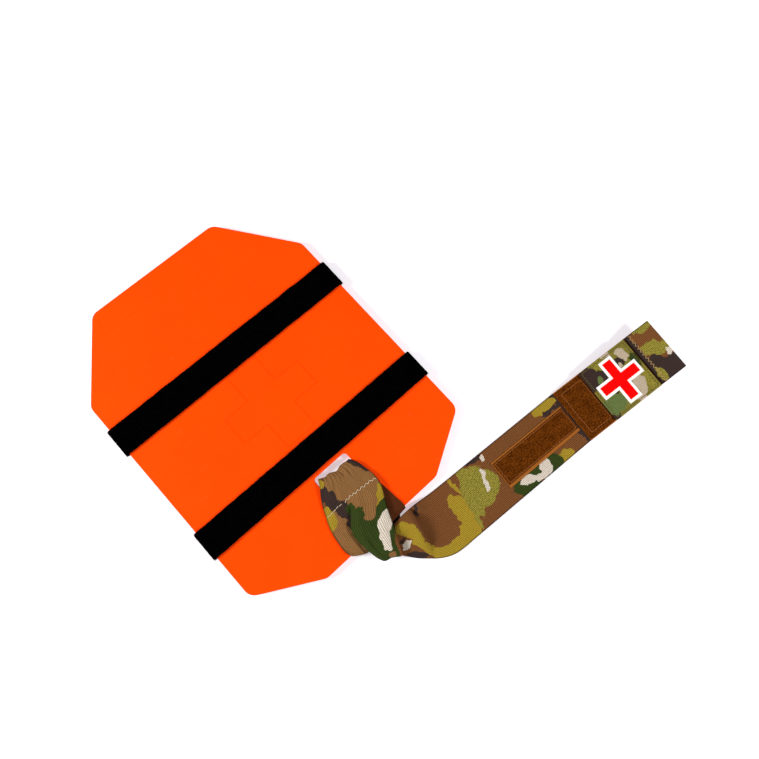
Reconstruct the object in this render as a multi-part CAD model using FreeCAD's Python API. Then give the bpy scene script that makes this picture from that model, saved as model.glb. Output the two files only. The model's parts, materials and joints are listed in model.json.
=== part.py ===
"""Pull-out medical plate: a stiff plastic panel in two hook-and-loop bands, with an elastic pull strap
choked through its slot. The strap carries a hook strip, a loop field, a removable cross patch and a pull tab.

Row frame, millimetres: origin at the centre of the panel's front face, +Z out of that face, +Y towards the
end with the long corner cuts, +X towards the side that the strap lies on.
"""

import FreeCAD
import Part
import math
import os

from FreeCAD import Placement, Rotation, Vector

# ---- panel ----
PANEL_WIDTH = 225.0
PANEL_LENGTH = 293.0
PANEL_THICKNESS = 2.4
TOP_CUT = (49.0, 64.0)  # corner cut at the +Y end: along X, along Y
BOTTOM_CUT = (53.0, 30.0)  # corner cut at the slot end
CORNER_RADIUS = 10.0
EDGE_ROUND = 0.5

SLOT_WIDTH = 34.0
SLOT_HEIGHT = 12.0
SLOT_TOP_Y = -81.3
SLOT_RADIUS = 3.0

# ---- cross outline sunk into the panel's front ----
CROSS_SIZE = 78.0
CROSS_UPRIGHT = 30.0
CROSS_CROSSBAR = 26.0
CROSS_CENTRE = (0.0, -9.5)
GROOVE_WIDTH = 0.8
GROOVE_DEPTH = 0.25

# ---- round marks that the mould leaves on the front: x, y, radius ----
MOULD_MARKS = ((-58.2, 134.2, 6.4), (43.4, 140.1, 2.6))
MARK_DEPTH = 0.08

# ---- hook-and-loop bands round the panel ----
BAND_WIDTH = 26.0
BAND_THICKNESS = 2.2
BAND_Y = {"upper": 44.2, "lower": -65.0}
BAND_YAW = -0.35  # degrees: the bands sit very slightly askew
BAND_GAP = (30.0, 35.0)  # X of the two tape ends, on the back
HOOK_BASE_END = 45.0
HOOK_TAB_END = -20.0
HOOK_WIDTH = 25.0
HOOK_TAB_THICKNESS = 1.2
HOOK_BASE_THICKNESS = 0.9
HINGE_SLIT = 0.2

# ---- elastic pull strap ----
STRAP_WIDTH = 51.0
STRAP_THICKNESS = 1.5
TAPE_THICKNESS = 1.8  # hook strip and loop field, pile included
FOLD_CLEARANCE = 1.4  # free length each side of a fold line

PIVOT = Vector(2.0, -160.0, 0.0)  # where the tail leaves the eye
EYE_RADIUS = 16.5
NECK_RADIUS = 17.2

MIDDLE_START = Vector(46.0, -178.7, 0.0)
FOLD_POINT = Vector(181.2, -188.2, 0.0)
OUTER_YAW = -5.33
OUTER_PITCH = 6.0
OUTER_LENGTH = 84.5
TAB_PITCH = 11.0
TAB_LENGTH = 23.5
TAB_DROP = 0.3  # the tab's top lies this far under the loop field's

HOOK_STRIP_WIDTH = 26.0
HOOK_STRIP_LENGTH = 79.5

PATCH_SIZE = 50.8
PATCH_START = 28.6  # along the outer section, from its fold line
PATCH_BACKING = 1.0
PATCH_FACE = 0.9
CROSS_ARM = 38.0
CROSS_ARM_WIDTH = 8.4
CROSS_BORDER = 2.8
CROSS_LAYER = 0.35

# ---- sewing thread ----
THREAD_WIDTH = 0.5
THREAD_HEIGHT = 0.3
STITCH_PITCH = 3.0
STITCH_LENGTH = 2.2
ZIGZAG_ANGLE = 35.0

# ---- levels worked out from the above ----
PANEL_BACK = -PANEL_THICKNESS
BAND_BACK = PANEL_BACK - BAND_THICKNESS
FLOOR = BAND_BACK - HOOK_TAB_THICKNESS
CLEARANCE = 0.3
EYE_UNDER = PANEL_BACK - CLEARANCE
PANEL_END_Y = -PANEL_LENGTH / 2
MIDDLE_YAW = math.degrees(math.atan2(FOLD_POINT.y - MIDDLE_START.y, FOLD_POINT.x - MIDDLE_START.x))
MIDDLE_LENGTH = (FOLD_POINT - MIDDLE_START).Length
SECTION_THICKNESS = STRAP_THICKNESS + TAPE_THICKNESS

Z_AXIS = Vector(0, 0, 1)
Y_AXIS = Vector(0, 1, 0)


# ---- helpers ----
def prism(points, low, high):
    """A straight prism over a closed outline of (x, y) points, from z = low to z = high."""
    outline = [Vector(x, y, low) for x, y in points]
    face = Part.Face(Part.makePolygon(outline + outline[:1]))
    return face.extrude(Vector(0, 0, high - low))


def block(x, y, z):
    """A box from three (low, high) ranges."""
    size = [high - low for low, high in (x, y, z)]
    return Part.makeBox(*size, Vector(x[0], y[0], z[0]))


def round_upright_edges(shape, radius):
    """Rounds every edge that runs along Z."""
    upright = [e for e in shape.Edges if abs(e.tangentAt(e.FirstParameter).z) > 0.999]
    return shape.makeFillet(radius, upright)


def disc(radius, low, high):
    """A disc about the strap's pivot."""
    return Part.makeCylinder(radius, high - low, Vector(PIVOT.x, PIVOT.y, low))


def cross_outline(size, upright, crossbar, centre):
    """The twelve corners of a cross, as (x, y)."""
    s, u, c = size / 2, upright / 2, crossbar / 2
    corners = [(u, s), (u, c), (s, c), (s, -c), (u, -c), (u, -s)]
    corners += [(-x, -y) for x, y in corners]
    return [(x + centre[0], y + centre[1]) for x, y in corners]


def stitch(x, y, level, angle=0.0):
    """One visible stitch, lying on z = level."""
    thread = Part.makeBox(
        STITCH_LENGTH, THREAD_WIDTH, THREAD_HEIGHT, Vector(-STITCH_LENGTH / 2, -THREAD_WIDTH / 2, level)
    )
    thread.rotate(Vector(), Z_AXIS, angle)
    thread.translate(Vector(x, y, 0))
    return thread


def seam(start, end, level, zigzag=0.0):
    """A row of stitches from start to end, both (x, y); zigzag turns them alternately to and fro."""
    run, rise = end[0] - start[0], end[1] - start[1]
    length, heading = math.hypot(run, rise), math.degrees(math.atan2(rise, run))
    count = max(1, round(length / STITCH_PITCH))
    made = []
    for i in range(count):
        share = (i + 0.5) / count
        turn = zigzag if i % 2 else -zigzag
        made.append(stitch(start[0] + run * share, start[1] + rise * share, level, heading + turn))
    return made


def seam_round(low, high, level):
    """Four seams round a rectangle from its low corner to its high corner."""
    inset = STITCH_PITCH / 2
    (x0, y0), (x1, y1) = low, high
    return (
        seam((x0 + inset, y0), (x1 - inset, y0), level)
        + seam((x0 + inset, y1), (x1 - inset, y1), level)
        + seam((x0, y0 + inset), (x0, y1 - inset), level)
        + seam((x1, y0 + inset), (x1, y1 - inset), level)
    )


def save(name, shape):
    """Writes one sub-part and says how large it is."""
    shape.exportStep(f"parts/{name}.step")
    print(f"{name}: {len(shape.Solids)} solid(s), {shape.Volume:.0f} mm3")


def save_group(name, solids, placement=Placement()):
    """Writes several separate solids as one sub-part."""
    group = Part.makeCompound(solids)
    group.Placement = placement
    save(name, group)


# ---- strap sections: each has its own frame, with its fold line at the origin and on its top face ----
def section_frame(origin, yaw, pitch):
    """Local X runs along the strap, local Z out of its face."""
    turn = Rotation(Z_AXIS, yaw).multiply(Rotation(Y_AXIS, -pitch))
    return Placement(origin, turn)


MIDDLE_FRAME = section_frame(MIDDLE_START + Vector(0, 0, FLOOR + STRAP_THICKNESS), MIDDLE_YAW, 0.0)
OUTER_FRAME = section_frame(FOLD_POINT + Vector(0, 0, FLOOR + SECTION_THICKNESS), OUTER_YAW, OUTER_PITCH)
TAB_FRAME = section_frame(OUTER_FRAME.multVec(Vector(OUTER_LENGTH, 0, 0)), OUTER_YAW, TAB_PITCH)


def strap_slab(length, top, thickness):
    """A flat length of webbing between two fold lines."""
    half = STRAP_WIDTH / 2
    return block((FOLD_CLEARANCE, length - FOLD_CLEARANCE), (-half, half), (top - thickness, top))


def placed(shape, frame):
    shape.Placement = frame
    return shape


# ---- sub-parts ----
def make_panel():
    w, h = PANEL_WIDTH / 2, PANEL_LENGTH / 2
    right = [
        (w - BOTTOM_CUT[0], -h),
        (w, -h + BOTTOM_CUT[1]),
        (w, h - TOP_CUT[1]),
        (w - TOP_CUT[0], h),
    ]
    left = [(-x, y) for x, y in reversed(right)]
    plate = round_upright_edges(prism(right + left, PANEL_BACK, 0.0), CORNER_RADIUS)

    slot = block(
        (-SLOT_WIDTH / 2, SLOT_WIDTH / 2),
        (SLOT_TOP_Y - SLOT_HEIGHT, SLOT_TOP_Y),
        (PANEL_BACK - 1, 1),
    )
    plate = plate.cut(round_upright_edges(slot, SLOT_RADIUS))
    rim = [e for face in plate.Faces if abs(face.normalAt(0, 0).z) > 0.999 for e in face.Edges]
    plate = plate.makeFillet(EDGE_ROUND, rim)

    marks = [
        Part.makeCylinder(radius, 1.0, Vector(x, y, -MARK_DEPTH)) for x, y, radius in MOULD_MARKS
    ]
    sizes = (CROSS_SIZE, CROSS_UPRIGHT, CROSS_CROSSBAR)
    inner_sizes = (size - 2 * GROOVE_WIDTH for size in sizes)
    outer = prism(cross_outline(*sizes, CROSS_CENTRE), -GROOVE_DEPTH, 1.0)
    inner = prism(cross_outline(*inner_sizes, CROSS_CENTRE), -GROOVE_DEPTH - 1, 2.0)
    return plate.cut([outer.cut(inner)] + marks)


def band_place(name):
    return Placement(Vector(0, BAND_Y[name], 0), Rotation(Z_AXIS, BAND_YAW))


def make_band():
    """Loop tape round the panel, open on the back between its two ends."""
    reach = PANEL_WIDTH / 2 + BAND_THICKNESS
    half = BAND_WIDTH / 2
    wrap = block((-reach, reach), (-half, half), (BAND_BACK, BAND_THICKNESS))
    along_y = [e for e in wrap.Edges if abs(e.tangentAt(e.FirstParameter).y) > 0.999]
    wrap = wrap.makeFillet(BAND_THICKNESS - EDGE_ROUND, along_y)
    clear = CLEARANCE / 3
    hollow = block(
        (-PANEL_WIDTH / 2 - clear, PANEL_WIDTH / 2 + clear), (-half, half), (PANEL_BACK, 0.0)
    )
    gap = block(BAND_GAP, (-half, half), (BAND_BACK - 1, PANEL_BACK))
    return wrap.cut(hollow).cut(gap)


def make_hook_base():
    """The end of the hook tab that is sewn to the tape."""
    half = HOOK_WIDTH / 2
    low = BAND_BACK - HOOK_BASE_THICKNESS
    return block((BAND_GAP[1] + HINGE_SLIT, HOOK_BASE_END), (-half, half), (low, BAND_BACK))


def make_hook_tab():
    """The free length of the hook tab, closed over the other tape end."""
    half = HOOK_WIDTH / 2
    tab = block((HOOK_TAB_END, BAND_GAP[1] - HINGE_SLIT), (-half, half), (FLOOR, BAND_BACK))
    tip = [
        e
        for e in tab.Edges
        if abs(e.tangentAt(e.FirstParameter).z) > 0.999 and e.CenterOfMass.x < HOOK_TAB_END + 1
    ]
    return tab.makeFillet(SLOT_RADIUS, tip)


def make_hook_stitches():
    """Two rows of stitches under the sewn end."""
    half = HOOK_WIDTH / 2 - STITCH_PITCH / 2
    rows = (BAND_GAP[1] + 2.5, HOOK_BASE_END - 2.0)
    level = BAND_BACK - HOOK_BASE_THICKNESS - THREAD_HEIGHT
    return [s for x in rows for s in seam((x, -half), (x, half), level)]


EYE_BOTTOM_TIP = [(-3.5, -174.5), (-18.3, -167.0), (-22.2, -154.5)]
EYE_LEFT = [(-35.5, -147.0), (-36.3, -136.0), (-34.7, -123.4), (-31.1, -111.5), (-24.7, -101.2), (-17.0, -88.3)]
EYE_RIGHT = [(17.0, -88.3), (21.7, -103.6), (23.5, -112.5), (24.5, -147.0)]
EYE_TOP = 7.0
SEAM_Y = -112.0


def make_eye():
    """The sewn eye: it lies on the panel's front, and beyond the panel's end it drops round the tail."""
    on_panel = prism(EYE_RIGHT + EYE_LEFT, CLEARANCE, EYE_TOP)
    beyond = prism(
        [(PIVOT.x, PANEL_END_Y - CLEARANCE), (-35.0, PANEL_END_Y - CLEARANCE)] + EYE_BOTTOM_TIP[::-1],
        EYE_UNDER,
        EYE_TOP,
    )
    keep = block((-60, 60), (-200, PANEL_END_Y - CLEARANCE), (EYE_UNDER, EYE_TOP))
    round_the_pivot = disc(EYE_RADIUS, EYE_UNDER, EYE_TOP).common(keep)
    return on_panel.fuse([beyond, round_the_pivot]).removeSplitter()


def make_wrap():
    """The strap from the eye: through the slot, behind the panel's end and out below the eye."""
    half = SLOT_WIDTH / 2 - 2.0
    slot_low = SLOT_TOP_Y - SLOT_HEIGHT
    in_slot = block((-half, half), (slot_low + CLEARANCE, slot_low + 4.5), (FLOOR, CLEARANCE))
    under = prism(
        [
            (half, slot_low + 4.5),
            (24.0, -120.0),
            (24.0, -141.0),
            (13.0, -145.5),
            (13.0, -168.0),
            (-18.0, -166.5),
            (-24.0, PANEL_END_Y),
            (-24.0, -120.0),
            (-half, slot_low + 4.5),
        ],
        FLOOR,
        EYE_UNDER,
    )
    return in_slot.fuse(under).removeSplitter()


def make_neck():
    """The gathered tail where it fans out to its full width and comes down to the floor."""
    fan = [
        (9.9, -148.6),
        (30.0, -150.5),
        (44.6, -152.9),
        (44.6, -204.4),
        (27.0, -202.0),
        (10.0, -190.0),
        (-3.0, -176.0),
    ]
    high = 2.0
    body = prism(fan, FLOOR, high).cut(disc(NECK_RADIUS, FLOOR - 1, high + 1))
    slope = block((0, 80), (-80, 80), (0, 40))
    drop = high - (FLOOR + STRAP_THICKNESS)
    slope.rotate(Vector(), Y_AXIS, math.degrees(math.atan2(drop, 30.0)))
    slope.translate(Vector(14.6, -178.0, high))
    body = body.cut(slope)
    return max(body.Solids, key=lambda s: s.Volume)


def make_middle():
    return placed(strap_slab(MIDDLE_LENGTH, 0.0, STRAP_THICKNESS), MIDDLE_FRAME)


def make_hook_strip():
    half = HOOK_STRIP_WIDTH / 2
    end = MIDDLE_LENGTH - FOLD_CLEARANCE
    strip = block((end - HOOK_STRIP_LENGTH, end), (-half, half), (0.0, TAPE_THICKNESS))
    return placed(strip, MIDDLE_FRAME)


def make_hook_strip_stitches():
    half = HOOK_STRIP_WIDTH / 2 - 2.0
    end = MIDDLE_LENGTH - FOLD_CLEARANCE - 2.0
    return seam_round((end - HOOK_STRIP_LENGTH + 4.0, -half), (end, half), TAPE_THICKNESS)


def make_outer():
    return placed(strap_slab(OUTER_LENGTH, -TAPE_THICKNESS, STRAP_THICKNESS), OUTER_FRAME)


def make_loop_field():
    return placed(strap_slab(OUTER_LENGTH, 0.0, TAPE_THICKNESS), OUTER_FRAME)


def make_loop_field_stitches():
    """Only the part of the seam that the patch leaves showing."""
    half = STRAP_WIDTH / 2 - 3.0
    start = FOLD_CLEARANCE + 3.5
    end = PATCH_START - 3.0
    inset = STITCH_PITCH / 2
    return (
        seam((start, -half + inset), (start, half - inset), 0.0)
        + seam((start + inset, half), (end, half), 0.0)
        + seam((start + inset, -half), (end, -half), 0.0)
    )


def patch_square(inset, low, high):
    half = PATCH_SIZE / 2 - inset
    middle = PATCH_START + PATCH_SIZE / 2
    return block((middle - half, middle + half), (-half, half), (low, high))


def make_patch_cross(size, width, level):
    """A plain cross, lying on z = level in the outer section's frame."""
    centre = (PATCH_START + PATCH_SIZE / 2, 0.0)
    return prism(cross_outline(size, width, width, centre), level, level + CROSS_LAYER)


def make_patch_stitches():
    half = PATCH_SIZE / 2 - 1.5
    middle = PATCH_START + PATCH_SIZE / 2
    return seam_round((middle - half, -half), (middle + half, half), PATCH_BACKING + PATCH_FACE)


def make_pull_tab():
    """The strap's end, folded under itself to twice its thickness."""
    half = STRAP_WIDTH / 2
    low = -TAB_DROP - 2 * STRAP_THICKNESS
    tab = block((FOLD_CLEARANCE, TAB_LENGTH), (-half, half), (low, -TAB_DROP))
    tip = [
        e
        for e in tab.Edges
        if abs(e.tangentAt(e.FirstParameter).y) > 0.999 and e.CenterOfMass.x > TAB_LENGTH - 1
    ]
    return placed(tab.makeFillet(STRAP_THICKNESS - 0.1, tip), TAB_FRAME)


def make_pull_tab_stitches():
    half = STRAP_WIDTH / 2 - 2.0
    rows = (FOLD_CLEARANCE + 1.8, FOLD_CLEARANCE + 4.4)
    return [s for x in rows for s in seam((x, -half), (x, half), -TAB_DROP, ZIGZAG_ANGLE)]


def main():
    os.makedirs("parts", exist_ok=True)

    save("panel", make_panel())
    for name in BAND_Y:
        place = band_place(name)
        save(f"{name}_band", placed(make_band(), place))
        save(f"{name}_band_hook_base", placed(make_hook_base(), place))
        save(f"{name}_band_hook_tab", placed(make_hook_tab(), place))
        save_group(f"{name}_band_stitching", make_hook_stitches(), place)

    save("strap_eye", make_eye())
    save("strap_wrap", make_wrap())
    save_group("eye_stitching", seam((-29.5, SEAM_Y), (22.0, SEAM_Y), EYE_TOP, ZIGZAG_ANGLE))
    save("strap_neck", make_neck())

    save("strap_middle", make_middle())
    save("hook_strip", make_hook_strip())
    save_group("hook_strip_stitching", make_hook_strip_stitches(), MIDDLE_FRAME)

    save("strap_outer", make_outer())
    save("loop_field", make_loop_field())
    save_group("loop_field_stitching", make_loop_field_stitches(), OUTER_FRAME)

    face_top = PATCH_BACKING + PATCH_FACE
    save("patch_hook_backing", placed(patch_square(0.8, 0.0, PATCH_BACKING), OUTER_FRAME))
    save("patch_face", placed(patch_square(0.0, PATCH_BACKING, face_top), OUTER_FRAME))
    save_group("patch_stitching", make_patch_stitches(), OUTER_FRAME)
    border = make_patch_cross(CROSS_ARM + 2 * CROSS_BORDER, CROSS_ARM_WIDTH + 2 * CROSS_BORDER, face_top)
    save("cross_border", placed(border, OUTER_FRAME))
    cross = make_patch_cross(CROSS_ARM, CROSS_ARM_WIDTH, face_top + CROSS_LAYER)
    save("cross", placed(cross, OUTER_FRAME))

    save("pull_tab", make_pull_tab())
    save_group("pull_tab_stitching", make_pull_tab_stitches(), TAB_FRAME)


main()
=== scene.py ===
"""The looks of the pull-out medical panel: plastic, hook-and-loop bands and a camouflage elastic strap.

Lengths in the shape code are millimetres in the row's frame; meshes are built in metres.
"""

import bmesh
import bpy
import json
import math
import random
from mathutils import Matrix, Vector, noise


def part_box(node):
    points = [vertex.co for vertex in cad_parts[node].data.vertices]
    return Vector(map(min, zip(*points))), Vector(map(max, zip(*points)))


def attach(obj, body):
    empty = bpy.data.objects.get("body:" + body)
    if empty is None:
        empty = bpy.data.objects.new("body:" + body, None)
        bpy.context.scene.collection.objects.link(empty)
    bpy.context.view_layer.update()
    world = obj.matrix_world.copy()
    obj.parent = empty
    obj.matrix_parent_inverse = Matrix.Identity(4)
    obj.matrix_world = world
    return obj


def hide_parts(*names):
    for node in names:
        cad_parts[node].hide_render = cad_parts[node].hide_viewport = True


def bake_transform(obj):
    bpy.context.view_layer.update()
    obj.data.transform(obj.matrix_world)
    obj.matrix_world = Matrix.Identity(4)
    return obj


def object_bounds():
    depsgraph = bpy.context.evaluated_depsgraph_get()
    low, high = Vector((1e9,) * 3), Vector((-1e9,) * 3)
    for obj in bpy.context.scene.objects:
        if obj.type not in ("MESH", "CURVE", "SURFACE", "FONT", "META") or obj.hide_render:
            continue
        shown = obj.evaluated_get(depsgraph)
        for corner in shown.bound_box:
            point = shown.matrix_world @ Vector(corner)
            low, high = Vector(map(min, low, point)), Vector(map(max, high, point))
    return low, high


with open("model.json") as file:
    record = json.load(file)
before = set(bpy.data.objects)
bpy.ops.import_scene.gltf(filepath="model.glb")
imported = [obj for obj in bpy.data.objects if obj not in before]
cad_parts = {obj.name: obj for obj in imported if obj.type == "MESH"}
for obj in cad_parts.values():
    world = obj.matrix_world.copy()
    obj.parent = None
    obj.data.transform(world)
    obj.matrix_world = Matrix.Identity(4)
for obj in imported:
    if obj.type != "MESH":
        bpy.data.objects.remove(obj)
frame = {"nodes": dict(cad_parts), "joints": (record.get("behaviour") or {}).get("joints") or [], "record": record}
cad_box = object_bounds()

MM = 0.001
UV_PER_MM = 0.01  # UV maps count tenths of a metre, so that a pattern has one scale on every piece

JOINTS = {j["name"]: j for j in frame["joints"]}
MOUNTS = {m["name"]: m for m in frame["record"]["mounts"]}
FLOOR = cad_box[0][2] / MM

# ---- sizes that the CAD's boxes don't give directly, mm ----
STRAP_WIDTH = 51.0
STRAP_THICKNESS = 1.5
TAPE_THICKNESS = 1.8
HOOK_STRIP_WIDTH = 26.0
HOOK_STRIP_LENGTH = 80.7
BAND_WIDTH = 26.0
BAND_THICKNESS = 2.2
PANEL_THICKNESS = 2.4
PATCH_SIZE = 50.8
PATCH_START = 28.6
PATCH_THICKNESS = 1.9
CROSS_ARM = 38.0
CROSS_ARM_WIDTH = 8.4
CROSS_BORDER = 2.5
CROSS_LAYER = 0.35
TAB_PITCH = 11.0
TAB_DROP = 0.3
TAB_LENGTH = 23.5
HOOK_TAB_LENGTH = 54.8
HOOK_TAB_THICKNESS = 1.2
HOOK_BASE_LENGTH = 9.8
HOOK_BASE_THICKNESS = 0.9
HOOK_WIDTH = 25.0


# ---- local frames ----
class Place:
    """A place on the object: an origin in mm and three directions."""

    def __init__(self, origin, along, across):
        self.origin = Vector(origin)
        self.x = Vector(along).normalized()
        self.y = Vector(across).normalized()
        self.z = self.x.cross(self.y)

    def at(self, x, y, z=0.0):
        return self.origin + self.x * x + self.y * y + self.z * z


def joint_origin(name):
    return Vector(JOINTS[name]["pos_m"]) / MM


def joint_axis(name):
    return Vector(JOINTS[name]["axis"])


def tilted(direction, degrees):
    """A level direction, tilted up."""
    level = Vector((direction.x, direction.y, 0)).normalized()
    turn = math.radians(degrees)
    return level * math.cos(turn) + Vector((0, 0, math.sin(turn)))


LIFT_AT = joint_origin("strap_lift")
FOLD_AT = joint_origin("strap_fold")
TAB_AT = joint_origin("pull_tab_fold")
MIDDLE = Place(LIFT_AT, tilted(FOLD_AT - LIFT_AT, 0.0), -joint_axis("strap_lift"))
OUTER = Place(FOLD_AT, TAB_AT - FOLD_AT, -joint_axis("strap_fold"))
TAB = Place(TAB_AT, tilted(TAB_AT - FOLD_AT, TAB_PITCH), joint_axis("pull_tab_fold"))
MIDDLE_LENGTH = (FOLD_AT - LIFT_AT).dot(MIDDLE.x)
OUTER_LENGTH = (TAB_AT - FOLD_AT).length


# ---- cloth surfaces ----
def curve_at(points, marks, d):
    """A point on the smooth curve that passes points at the distances in marks."""
    last = len(points) - 1
    i = max(0, min(last - 1, sum(1 for m in marks[1:-1] if m <= d)))

    def slope(k):
        if k in (0, last):
            a, b = (0, 1) if k == 0 else (last - 1, last)
            return (points[b] - points[a]) / (marks[b] - marks[a])
        before, after = marks[k] - marks[k - 1], marks[k + 1] - marks[k]
        fall = (points[k] - points[k - 1]) / before
        rise = (points[k + 1] - points[k]) / after
        return (fall * after + rise * before) / (before + after)

    span = marks[i + 1] - marks[i]
    f = (d - marks[i]) / span
    ease = f * f * (3 - 2 * f)
    start, end = slope(i) * span, slope(i + 1) * span
    return points[i].lerp(points[i + 1], ease) + start * (f * (1 - f) ** 2) - end * (f * f * (1 - f))


# A quarter circle: how far in from a cloth's edge, and the share of its thickness there.
EDGE_PROFILE = ((0.0, 0.0), (0.05, 0.31), (0.2, 0.6), (0.5, 0.87), (1.0, 1.0))


def spread(length, step, radius, rounded=(True, True)):
    """Distances from 0 to length, and the share of its thickness that round-edged cloth has at each."""
    start = [(d * radius, f) for d, f in EDGE_PROFILE] if rounded[0] else [(0.0, 1.0)]
    end = [(length - d * radius, f) for d, f in reversed(EDGE_PROFILE)] if rounded[1] else [(length, 1.0)]
    low, high = start[-1][0], end[0][0]
    count = max(1, round((high - low) / step))
    middle = [(low + (high - low) * k / count, 1.0) for k in range(1, count)]
    return start + middle + end


def mean_step(row, following):
    """How far apart two stations are."""
    return sum((b - a).length for a, b in zip(row, following)) / len(row)


class Cloth:
    """A sheet of even thickness on the smooth surface through stations, which are rows of points across it.

    With the along and across directions of a row's points, the face is on the side of along x across.
    """

    def __init__(self, stations, thickness, width=STRAP_WIDTH, step=1.0, start=0.0, rounded=(True, True)):
        self.thickness = thickness
        self.width = width
        self.start = start
        steps = [mean_step(a, b) for a, b in zip(stations, stations[1:])]
        marks = [sum(steps[:k]) for k in range(len(stations))]
        self.length = marks[-1]
        self.along = spread(self.length, step, thickness / 2, rounded)
        self.across = spread(width, step, thickness / 2)
        wide = len(stations[0]) - 1
        spaced = [width * k / wide for k in range(wide + 1)]
        rows = [[curve_at(row, spaced, d) for d, _ in self.across] for row in stations]
        columns = list(zip(*rows))
        self.points = [[curve_at(column, marks, d) for column in columns] for d, _ in self.along]
        self.find_normals()

    def find_normals(self):
        p = self.points
        rows, columns = len(p), len(p[0])
        self.normals = []
        for i in range(rows):
            up, down = p[max(i - 1, 0)], p[min(i + 1, rows - 1)]
            line = []
            for j in range(columns):
                along = down[j] - up[j]
                across = p[i][min(j + 1, columns - 1)] - p[i][max(j - 1, 0)]
                line.append(along.cross(across).normalized())
            self.normals.append(line)

    def shift(self, offset):
        """Moves each point by offset(u, v, point), u and v in mm from the start and from the middle line."""
        for i, (d, _) in enumerate(self.along):
            for j, (w, _) in enumerate(self.across):
                self.points[i][j] = self.points[i][j] + offset(d, w - self.width / 2, self.points[i][j])
        self.find_normals()
        return self

    def on(self, u, v, height=0.0):
        """A point on the face, u mm from the start and v mm from the middle line, with its directions."""
        i, f = locate(self.along, u)
        j, g = locate(self.across, v + self.width / 2)
        p, n = self.points, self.normals
        point = p[i][j].lerp(p[i][j + 1], g).lerp(p[i + 1][j].lerp(p[i + 1][j + 1], g), f)
        normal = n[i][j].lerp(n[i + 1][j + 1], 0.5 * (f + g)).normalized()
        along = (p[i + 1][j] - p[i][j]).normalized()
        return point + normal * (self.thickness / 2 + height), normal, along

    def build(self, name, material, pile=None):
        """The closed mesh; pile(u, v) raises the face."""
        rows, columns = len(self.points), len(self.points[0])
        verts, uvs, top, bottom = [], [], [], []
        for i, (d, fi) in enumerate(self.along):
            top_row, bottom_row = [], []
            for j, (w, fj) in enumerate(self.across):
                share = fi * fj
                half = self.normals[i][j] * (self.thickness / 2 * share)
                lift = pile(d, w - self.width / 2) * share if pile else 0.0
                top_row.append(len(verts))
                verts.append(self.points[i][j] + half + self.normals[i][j] * lift)
                uvs.append(((self.start + d) * UV_PER_MM, w * UV_PER_MM))
                if share == 0:
                    bottom_row.append(top_row[-1])
                else:
                    bottom_row.append(len(verts))
                    verts.append(self.points[i][j] - half)
                    uvs.append(uvs[-1])
            top.append(top_row)
            bottom.append(bottom_row)
        faces = []
        for i in range(rows - 1):
            for j in range(columns - 1):
                faces.append((top[i][j], top[i + 1][j], top[i + 1][j + 1], top[i][j + 1]))
                faces.append((bottom[i][j], bottom[i][j + 1], bottom[i + 1][j + 1], bottom[i + 1][j]))
        for i, flip in ((0, False), (rows - 1, True)):
            if top[i][1] == bottom[i][1]:
                continue
            for j in range(columns - 1):
                wall = tuple(dict.fromkeys((top[i][j], top[i][j + 1], bottom[i][j + 1], bottom[i][j])))
                faces.append(wall[::-1] if flip else wall)
        return add_mesh(name, verts, faces, material, uvs)


def locate(samples, d):
    """The sample below d, and how far d is towards the next one."""
    for i in range(len(samples) - 1):
        low, high = samples[i][0], samples[i + 1][0]
        if d <= high:
            return i, max(0.0, min(1.0, (d - low) / (high - low)))
    return len(samples) - 2, 1.0


def in_scene(name, data):
    """A new object in the scene that holds data."""
    thing = bpy.data.objects.new(name, data)
    bpy.context.scene.collection.objects.link(thing)
    return thing


def finish_mesh(mesh, material, uvs, crease):
    """An object with smooth shading, one material and, where they are given, a UV pair for each vertex."""
    mesh.polygons.foreach_set("use_smooth", [True] * len(mesh.polygons))
    if uvs:
        layer = mesh.uv_layers.new(name="cloth")
        layer.data.foreach_set("uv", [c for loop in mesh.loops for c in uvs[loop.vertex_index]])
    mesh.set_sharp_from_angle(angle=math.radians(crease))
    mesh.materials.append(material)
    mesh.update()
    return in_scene(mesh.name, mesh)


def add_mesh(name, verts, faces, material, uvs=None):
    """A mesh object, from millimetre points."""
    mesh = bpy.data.meshes.new(name)
    mesh.from_pydata([v * MM for v in verts], [], faces)
    return finish_mesh(mesh, material, uvs, 50.0)


def waver(u, v, scale, amount, seed):
    """Smooth random offset in -amount to amount."""
    return amount * noise.noise(Vector((u / scale, v / scale, seed * 7.31)))


# ---- threads, fibres and hooks ----
def tube(path, radii, sides, verts, faces):
    """Adds a closed tube along path to verts and faces."""
    rings = []
    for k, (point, radius) in enumerate(zip(path, radii)):
        ahead = (path[min(k + 1, len(path) - 1)] - path[max(k - 1, 0)]).normalized()
        side = ahead.cross(Vector((0.31, 0.17, 0.93)))
        side = side.normalized() if side.length > 0.05 else ahead.cross(Vector((1, 0, 0))).normalized()
        other = ahead.cross(side)
        ring = []
        for a in range(sides):
            turn = 2 * math.pi * a / sides
            ring.append(len(verts))
            verts.append(point + (side * math.cos(turn) + other * math.sin(turn)) * radius)
        rings.append(ring)
    for low, high in zip(rings, rings[1:]):
        for a in range(sides):
            b = (a + 1) % sides
            faces.append((low[a], low[b], high[b], high[a]))
    faces.append(tuple(reversed(rings[0])))
    faces.append(tuple(rings[-1]))


THREAD_RADIUS = 0.33
STITCH_LENGTH = 2.5
STITCH_PITCH = 3.0
# Along a stitch: the share of its length, its height over the cloth in mm, and the share of its radius.
STITCH_PROFILE = (
    (0.0, -0.25, 0.75), (0.18, 0.12, 1.0), (0.5, 0.2, 1.0), (0.82, 0.12, 1.0), (1.0, -0.25, 0.75),
)


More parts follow.
